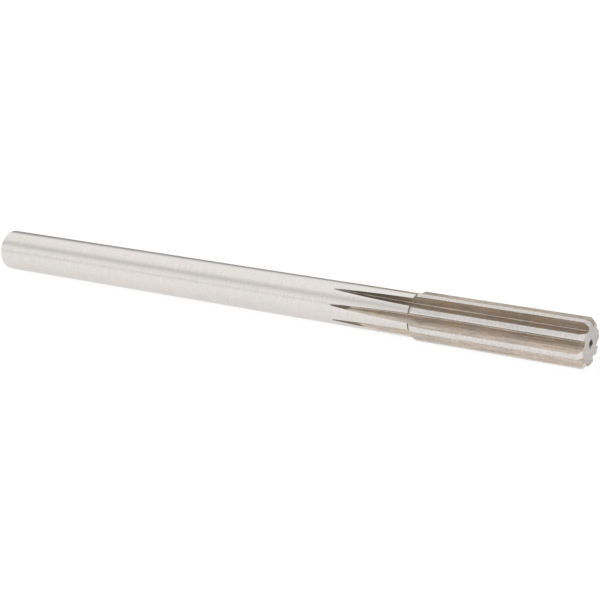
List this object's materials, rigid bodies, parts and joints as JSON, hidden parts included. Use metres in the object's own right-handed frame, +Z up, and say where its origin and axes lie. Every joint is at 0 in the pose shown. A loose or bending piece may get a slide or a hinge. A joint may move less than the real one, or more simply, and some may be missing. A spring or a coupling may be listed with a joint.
{
  "type": "straight-shank reamer",
  "caption": "Straight-fluted machine reamer with a plain straight shank, for finishing drilled holes to size in a drill press or lathe.",
  "frame": {"origin": "middle of the tool's length and width, at the height of the surface it lies on", "axes": "+X along the tool toward its cutting end, +Y toward its far side, +Z up"},
  "size_m": [0.2286, 0.0152, 0.0152],
  "materials": {
    "steel": "ground"
  },
  "bodies": {
    "root": {"reamer": "steel"}
  },
  "joints": []
}
